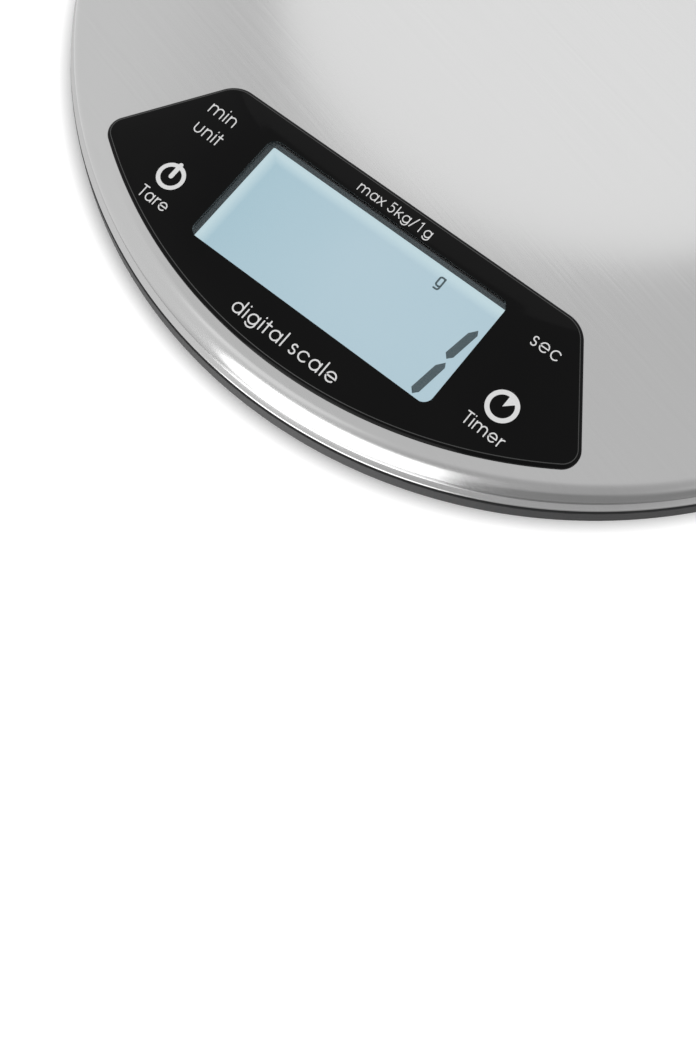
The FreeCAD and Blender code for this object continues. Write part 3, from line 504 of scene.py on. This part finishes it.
CUTTER_REACH = 3 * MM


def make_platform():
    """The steel disc, open under the panel."""
    top = STEEL_HIGH.z
    bm = bmesh.new()
    lathe(bm, platform_profile())
    disc = bpy.data.objects.new("disc", mesh_from(bm, "disc"))
    bm = bmesh.new()
    flat_solid(bm, panel_outline(OPENING_INSET), top - CUTTER_REACH, top + CUTTER_REACH)
    cutter = bpy.data.objects.new("cutter", mesh_from(bm, "cutter"))
    for made in (disc, cutter):
        SCENE.collection.objects.link(made)
    modifier = disc.modifiers.new("opening", "BOOLEAN")
    modifier.operation = "DIFFERENCE"
    modifier.solver = "EXACT"
    modifier.object = cutter
    bpy.context.view_layer.update()
    evaluated = disc.evaluated_get(bpy.context.evaluated_depsgraph_get())
    bm = bmesh.new()
    bm.from_mesh(evaluated.to_mesh())
    evaluated.to_mesh_clear()
    mesh = mesh_from(bm, "steel_disc", sharp_degrees=22.0)
    for made in (disc, cutter):
        bpy.data.objects.remove(made)
    piece = add_object("steel_disc", mesh, [SLOT_MATERIALS["brushed_steel"]])
    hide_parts("steel_platform")


# Section of the panel's edge in millimetres: distance from the outline, drop below the face, and the material
# of the band below it, which is 1 for the brighter finish that paints the highlight line and 0 for the black
# gloss
PANEL_EDGE = ((0.85, 0.0, 1), (0.68, 0.04, 0), (0.35, 0.22, 0), (0.08, 0.45, 0), (0.0, 0.62, 0))


def make_panel():
    """The black plate: a band with a painted highlight line round the face, a rounded edge and the window
    through it.
    """
    low, top = PANEL_LOW.z, PANEL_TOP
    bm = bmesh.new()
    rings = [add_ring(bm, panel_outline(inset * MM), top - drop * MM) for inset, drop, _ in PANEL_EDGE]
    rings.append(add_ring(bm, panel_outline(), low))
    for upper, lower, (_, _, finish) in zip(rings, rings[1:], PANEL_EDGE):
        bridge(bm, lower, upper, finish)
    inner_low = add_ring(bm, window_outline(), low)
    inner_top = add_ring(bm, window_outline(), top)
    bridge(bm, inner_top, inner_low)
    fill_between(bm, rings[0], inner_top)
    fill_between(bm, rings[-1], inner_low)
    mesh = mesh_from(bm, "panel_plate", sharp_degrees=16.0)
    # The second finish paints the highlight line on the band round the face.
    piece = add_object("panel_plate", mesh, [SLOT_MATERIALS["black_gloss"], edge_highlight_paint()])
    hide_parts("display_panel")


# ---------------------------------------------------------------- lettering

def letter_arc(x, y, across, along, start, end):
    steps = max(5, int(abs(end - start) / 12))
    return arc_points((x, y), (across, along), start, end, steps)


# The room that a letter keeps free beside an upright stem, a round bowl and an open arm
STEM, BOWL, ARM = 0.21, 0.2, 0.09

# Each letter: its room on the left, its width, its room on the right and its strokes, all measured in the
# height of a small letter
LETTERS = {
    "m": (STEM, 1.5, STEM, [
        [(0, 0), (0, 1)], [(0, 0.5)] + letter_arc(0.375, 0.6, 0.375, 0.4, 180, 0) + [(0.75, 0)],
        [(0.75, 0.5)] + letter_arc(1.125, 0.6, 0.375, 0.4, 180, 0) + [(1.5, 0)]]),
    "n": (STEM, 0.78, STEM, [
        [(0, 0), (0, 1)], [(0, 0.5)] + letter_arc(0.39, 0.6, 0.39, 0.4, 180, 0) + [(0.78, 0)]]),
    "u": (STEM, 0.78, STEM, [[(0, 1)] + letter_arc(0.39, 0.4, 0.39, 0.4, 180, 360) + [(0.78, 1)]]),
    "i": (STEM, 0.0, STEM, [[(0, 0), (0, 1)], [(0, 1.36), (0, 1.4)]]),
    "t": (0.12, 0.5, ARM, [[(0.2, 0), (0.2, 1.38)], [(0, 1), (0.5, 1)]]),
    "T": (ARM, 0.74, ARM, [[(0.37, 0), (0.37, 1.4)], [(0, 1.4), (0.74, 1.4)]]),
    "a": (BOWL, 0.9, STEM, [letter_arc(0.45, 0.5, 0.45, 0.5, 0, 360), [(0.9, 0), (0.9, 1)]]),
    "d": (BOWL, 0.9, STEM, [letter_arc(0.45, 0.5, 0.45, 0.5, 0, 360), [(0.9, 0), (0.9, 1.5)]]),
    "r": (STEM, 0.42, ARM, [[(0, 0), (0, 1)], [(0, 0.45)] + letter_arc(0.4, 0.55, 0.4, 0.43, 180, 85)]),
    "e": (BOWL, 0.92, BOWL, [[(0, 0.5), (0.92, 0.5)] + letter_arc(0.46, 0.5, 0.46, 0.5, 8, 318)]),
    "s": (ARM, 0.54, BOWL, [
        letter_arc(0.28, 0.76, 0.23, 0.24, 35, 270) + letter_arc(0.28, 0.26, 0.26, 0.26, 90, -150)]),
    "c": (BOWL, 0.84, BOWL, [letter_arc(0.47, 0.5, 0.47, 0.5, 42, 318)]),
    "x": (0.12, 0.76, 0.12, [[(0, 0), (0.76, 1)], [(0, 1), (0.76, 0)]]),
    "k": (STEM, 0.74, 0.15, [[(0, 0), (0, 1.45)], [(0.68, 1), (0.02, 0.42)], [(0.24, 0.62), (0.74, 0)]]),
    "g": (BOWL, 0.9, STEM, [
        letter_arc(0.45, 0.5, 0.45, 0.5, 0, 360), [(0.9, 1)] + letter_arc(0.45, 0.02, 0.45, 0.42, 0, -155)]),
    "l": (STEM, 0.0, STEM, [[(0, 0), (0, 1.5)]]),
    "5": (0.15, 0.78, 0.22, [
        [(0.68, 1.42), (0.2, 1.42), (0.12, 0.8)] + letter_arc(0.36, 0.47, 0.4, 0.47, 125, -150)]),
    "1": (0.35, 0.26, 0.55, [[(0, 1.28), (0.26, 1.45), (0.26, 0)]]),
    "/": (0.15, 0.55, 0.2, [[(0, -0.08), (0.55, 1.5)]]),
    " ": (0.27, 0.0, 0.27, []),
}


def add_stroke(bm, points, width, low, high, closed=False):
    """A flat ribbon of even width along the points, with round ends unless it is closed."""
    path = [Vector(p) for p in points]
    count = len(path)
    left, right = [], []
    for i, point in enumerate(path):
        before = path[i - 1] if i or closed else point
        after = path[(i + 1) % count] if i < count - 1 or closed else point
        directions = [d.normalized() for d in (point - before, after - point) if d.length > 1e-9]
        along = sum(directions, Vector((0, 0))).normalized()
        side = Vector((-along.y, along.x))
        reach = width / 2 / max(0.6, side.dot(Vector((-directions[0].y, directions[0].x))))
        left.append(point + side * reach)
        right.append(point - side * reach)
    if closed:
        rings = [add_ring(bm, outline, z) for z in (low, high) for outline in (left, right)]
        bridge(bm, rings[0], rings[2])
        bridge(bm, rings[3], rings[1])
        bridge(bm, rings[2], rings[3])
        bridge(bm, rings[1], rings[0])
        return
    first, last = (path[1] - path[0]).normalized(), (path[-1] - path[-2]).normalized()
    end_cap = round_cap(path[-1], last, width / 2)
    start_cap = round_cap(path[0], -first, width / 2)
    flat_strip(bm, left, right, end_cap, start_cap, low, high)


def round_cap(point, direction, radius):
    """Points of the half circle beyond a stroke's end, from its left side to its right side."""
    angle = math.degrees(math.atan2(direction.y, direction.x))
    return [Vector(p) for p in arc_points(point, radius, angle + 90, angle - 90, 6)[1:-1]]


def flat_strip(bm, left, right, end_cap, start_cap, low, high):
    """Closes a ribbon: quads along it, one face at each end and a wall all round."""
    outline = left + end_cap + right[::-1] + start_cap
    bottom, top = add_ring(bm, outline, low), add_ring(bm, outline, high)
    bridge(bm, bottom, top)
    count, caps = len(left), len(end_cap)
    for ring in (bottom, top):
        lefts = ring[:count]
        ends = ring[count:count + caps]
        rights = ring[count + caps:2 * count + caps][::-1]
        starts = ring[2 * count + caps:]
        for i in range(count - 1):
            bm.faces.new((lefts[i], lefts[i + 1], rights[i + 1], rights[i]))
        bm.faces.new([lefts[-1]] + ends + [rights[-1]])
        bm.faces.new([rights[0]] + starts + [lefts[0]])


def text_strokes(text, left, baseline, height, width):
    """Strokes of a word that starts at left, stands on the baseline and is as wide as asked."""
    letters = [LETTERS[letter] for letter in text]
    natural = sum(before + across + after for before, across, after, _ in letters)
    stretch = width / (natural - letters[0][0] - letters[-1][2])
    strokes, cursor = [], -letters[0][0]
    for before, across, after, parts in letters:
        cursor += before
        for part in parts:
            strokes.append([(left + (cursor + x) * stretch, baseline + y * height) for x, y in part])
        cursor += across + after
    return strokes


PRINT_HEIGHT = 0.02 * MM
PRINT_DEPTH = 0.02 * MM
PRINT_STEP = 0.003 * MM
RING_STEPS = 48


def add_strokes(bm, strokes, width, low, high):
    """Ribbons whose tops step up a little, so that no two crossing faces lie in one plane."""
    for i, points in enumerate(strokes):
        add_stroke(bm, points, width, low - i * PRINT_STEP, high + i * PRINT_STEP)


def make_word(name, text, left, baseline, height, width, stroke):
    """One printed word on the panel; places and sizes are in millimetres."""
    bm = bmesh.new()
    strokes = text_strokes(text, left * MM, baseline * MM, height * MM, width * MM)
    add_strokes(bm, strokes, stroke * MM, PANEL_TOP - PRINT_DEPTH, PANEL_TOP + PRINT_HEIGHT)
    add_object(name, mesh_from(bm, name), [INK])


def make_icon(name, centre, outer, inner, mark):
    """A ring with a mark inside it; places and sizes are in millimetres."""
    x, y = centre[0] * MM, centre[1] * MM
    low, high = PANEL_TOP - PRINT_DEPTH, PANEL_TOP + PRINT_HEIGHT
    bm = bmesh.new()
    middle, width = (outer + inner) / 2 * MM, (outer - inner) * MM
    ring = arc_points((x, y), middle, 0, 360, RING_STEPS)[:-1]
    add_stroke(bm, ring, width, low, high, closed=True)
    mark(bm, x, y, low, high)
    add_object(name, mesh_from(bm, name), [INK])


def power_bar(bm, x, y, low, high):
    """An upright bar from the ring's middle through its top."""
    length, width = 3.15 * MM, 1.0 * MM
    add_stroke(bm, [(x, y), (x, y + length)], width, low - PRINT_STEP, high + PRINT_STEP)


def timer_wedge(bm, x, y, low, high):
    """A slice of a clock's face."""
    radius = 2.6 * MM
    slice_outline = [(x, y)] + arc_points((x, y), radius, 43, 90, 8)
    flat_solid(bm, slice_outline, low - PRINT_STEP, high + PRINT_STEP)


def make_legends():
    """The words and the two icons printed on the panel."""
    # Name, text, left end, baseline, height of a small letter, width and stroke
    words = (
        ("legend_min", "min", -44.9, -68.3, 2.0, 6.4, 0.26),
        ("legend_unit", "unit", -44.6, -73.55, 2.0, 6.5, 0.26),
        ("legend_tare", "Tare", -44.0, -91.6, 1.8, 7.0, 0.26),
        ("legend_timer", "Timer", 37.15, -89.75, 1.8, 9.0, 0.26),
        ("legend_sec", "sec", 37.95, -69.1, 2.0, 6.3, 0.26),
        ("legend_range", "max 5kg/1g", -9.15, -63.55, 1.55, 18.15, 0.22),
        ("legend_type", "digital scale", -12.4, -99.3, 2.1, 25.6, 0.32),
    )
    for word in words:
        make_word(*word)
    make_icon("icon_power", (-41.0, -84.5), 3.1, 2.2, power_bar)
    make_icon("icon_timer", (41.6, -82.7), 3.4, 2.42, timer_wedge)


def right_segment(x_high, high, x_low, low, width):
    """Outline of one of the two upright segments of a slanted seven-segment digit, pointed at both ends."""
    tip = width * 0.55
    return [
        (x_high + width * 0.2, high), (x_high + width * 0.5, high - tip), (x_low + width * 0.5, low + tip),
        (x_low, low), (x_low - width * 0.5, low + tip), (x_high - width * 0.5, high - tip * 1.6),
    ]


def unit_strokes(left, baseline, width, height):
    """The narrow letter g of the display: a box with round corners and a hooked tail."""
    bowl = rounded_rectangle((left, baseline), (left + width, baseline + height), width * 0.38, 5)
    right, drop, hook = left + width, baseline - height * 0.36, width * 0.4
    tail = [(right, baseline + height)] + arc_points((right - hook, drop + hook), hook, 0, -90, 6)
    return [bowl + bowl[:1], tail + [(left + width * 0.1, drop)]]


# The figure's two segments in millimetres: place of the top end (x, y), then of the bottom end
FIGURE_ONE = ((27.7, -71.8, 26.7, -80.4), (26.75, -81.1, 25.8, -90.2))
SEGMENT_WIDTH = 1.85 * MM
# The unit's left end, baseline, width and height in millimetres
UNIT_PLACE = (15.2, -69.1, 1.15, 2.05)
UNIT_STROKE = 0.4 * MM
SEGMENT_DEPTH, SEGMENT_HEIGHT = 0.01 * MM, 0.02 * MM


def make_display_content():
    """The figure 1 of the reading and the unit beside it."""
    low, high = DISPLAY_HIGH.z - SEGMENT_DEPTH, DISPLAY_HIGH.z + SEGMENT_HEIGHT
    bm = bmesh.new()
    for segment in FIGURE_ONE:
        flat_solid(bm, right_segment(*(value * MM for value in segment), SEGMENT_WIDTH), low, high)
    add_object("reading_one", mesh_from(bm, "reading_one"), [segment_ink()])
    bm = bmesh.new()
    add_strokes(bm, unit_strokes(*(value * MM for value in UNIT_PLACE)), UNIT_STROKE, low, high)
    add_object("reading_unit", mesh_from(bm, "reading_unit"), [segment_ink()])


# ---------------------------------------------------------------- stage, light and camera

FLOOR_RADIUS = 6.0
FLOOR_DROP = 0.02 * MM
# The floor's glow, left out near the scale as a painted shadow: its middle, the radii between which it grows,
# and its strength
SHADOW_PAINT_MIDDLE = (-4 * MM, 5 * MM, 0)
SHADOW_PAINT_FADE_START, SHADOW_PAINT_FADE_END = 113.5 * MM, 119 * MM
GLOW = 0.7


def make_floor():
    """White paper that glows like a light table, with a painted shadow round the scale: its glow starts a
    little outside the scale.
    """
    bm = bmesh.new()
    bmesh.ops.create_circle(bm, cap_ends=True, radius=FLOOR_RADIUS, segments=96)
    mesh = bpy.data.meshes.new("floor")
    bm.to_mesh(mesh)
    bm.free()
    floor = bpy.data.objects.new("floor", mesh)
    floor.location.z = -FLOOR_DROP
    floor.visible_glossy = False
    SCENE.collection.objects.link(floor)
    nodes = Nodes("floor_paper")
    nodes.set(Specular_IOR_Level=0.0, Roughness=0.9, Emission_Color=(1, 1, 1, 1))
    cloud = nodes.noise(nodes.position((3, 3, 3)))
    place = nodes.add("TexCoord")
    away = nodes.add("VectorMath", operation="DISTANCE")
    away.inputs[1].default_value = SHADOW_PAINT_MIDDLE
    nodes.link(place.outputs["Object"], away.inputs[0])
    # No glow near the scale, fading in outwards: a painted shadow round a middle set off to the back left.
    glow_outside_painted_shadow = nodes.spread(away.outputs["Value"], 0.0, GLOW, SHADOW_PAINT_FADE_START, SHADOW_PAINT_FADE_END)
    paper = nodes.blend(cloud, (0.9, 0.9, 0.9), (0.93, 0.93, 0.93))
    nodes.drive(Base_Color=paper, Emission_Strength=glow_outside_painted_shadow)
    mesh.materials.append(nodes.material)


def soft_box(name, shape, place, size, radiance, target):
    """A flat light, ELLIPSE or RECTANGLE, that faces the target; radiance is how bright its face looks."""
    data = bpy.data.lights.new(name, "AREA")
    data.shape = shape
    data.size, data.size_y = size
    filled = math.pi / 4 if shape == "ELLIPSE" else 1.0
    data.energy = radiance * math.pi * size[0] * size[1] * filled
    light = bpy.data.objects.new(name, data)
    light.location = place
    light.rotation_euler = (Vector(target) - Vector(place)).to_track_quat("-Z", "Y").to_euler()
    SCENE.collection.objects.link(light)


WORLD_LIGHT = 0.74
# Zones of the surroundings: the middle of each, how closely a direction has to point there to start and to be
# inside it, and its change of brightness
ZONES = (
    ((-0.97, -0.14, 0.17), 0.52, 0.64, 0.12),
    ((-0.31, -0.26, 0.91), 0.97, 0.985, 0.3),
    ((0.5, -0.66, 0.56), 0.72, 0.95, -0.25),
    ((0.62, -0.55, -0.55), 0.62, 0.9, -0.42),
)


def make_world():
    """Even surroundings, brighter on the left and dim at the front right."""
    world = bpy.data.worlds.new("studio")
    world.use_nodes = True
    SCENE.world = world
    tree = world.node_tree
    place = tree.nodes.new("ShaderNodeTexCoord")
    level = None
    for middle, start, inside, change in ZONES:
        toward = tree.nodes.new("ShaderNodeVectorMath")
        toward.operation = "DOT_PRODUCT"
        toward.inputs[1].default_value = Vector(middle).normalized()
        tree.links.new(place.outputs["Generated"], toward.inputs[0])
        fade = tree.nodes.new("ShaderNodeMapRange")
        fade.interpolation_type = "SMOOTHSTEP"
        limits = (("From Min", start), ("From Max", inside), ("To Min", 0.0), ("To Max", change))
        for name, value in limits:
            fade.inputs[name].default_value = value
        tree.links.new(toward.outputs["Value"], fade.inputs["Value"])
        total = tree.nodes.new("ShaderNodeMath")
        total.operation = "ADD"
        total.inputs[1].default_value = WORLD_LIGHT
        if level:
            tree.links.new(level, total.inputs[1])
        tree.links.new(fade.outputs["Result"], total.inputs[0])
        level = total.outputs["Value"]
    tree.links.new(level, tree.nodes["Background"].inputs["Strength"])
    tree.nodes["Background"].inputs["Color"].default_value = (1, 1, 1, 1)


def make_lights():
    """A round light behind the scale for the bright field on the steel, a box in front for the shoulder."""
    soft_box("back_light", "ELLIPSE", place=(-0.36, 0.9, 1.0), size=(0.93, 0.93), radiance=0.42,
             target=(-0.36, 0.9, 0))
    soft_box("front_box", "RECTANGLE", place=(-0.02, -1.0, -0.2), size=(0.85, 1.8), radiance=2.0,
             target=(-0.02, 0, -0.2))


CAMERA_AZIMUTH = math.radians(46.095)
CAMERA_ELEVATION = math.radians(76.449)
CAMERA_ROLL = math.radians(7.472)
CAMERA_PLACE = (64.5 * MM, -149.2 * MM, 198.5 * MM)
CAMERA_LENS, CAMERA_SENSOR = 34.28, 36.0


def make_camera():
    """A close camera in front of the display, looking steeply down."""
    a, e, r = CAMERA_AZIMUTH, CAMERA_ELEVATION, CAMERA_ROLL
    right = Vector((math.cos(a), math.sin(a), 0))
    back = Vector((math.sin(a) * math.cos(e), -math.cos(a) * math.cos(e), math.sin(e)))
    up = back.cross(right)
    across = right * math.cos(r) - up * math.sin(r)
    along = right * math.sin(r) + up * math.cos(r)
    data = bpy.data.cameras.new("camera")
    data.lens = CAMERA_LENS
    data.sensor_width = CAMERA_SENSOR
    data.clip_start = 0.01
    camera = bpy.data.objects.new("camera", data)
    turn = Matrix((across, along, back)).transposed()
    camera.matrix_world = Matrix.Translation(CAMERA_PLACE) @ turn.to_4x4()
    SCENE.collection.objects.link(camera)
    SCENE.camera = camera


make_camera()
make_world()
make_lights()
make_floor()
paint_frame()
make_platform()
make_panel()
make_legends()
make_display_content()
SCENE.view_settings.view_transform = "Standard"
SCENE.view_settings.look = "None"
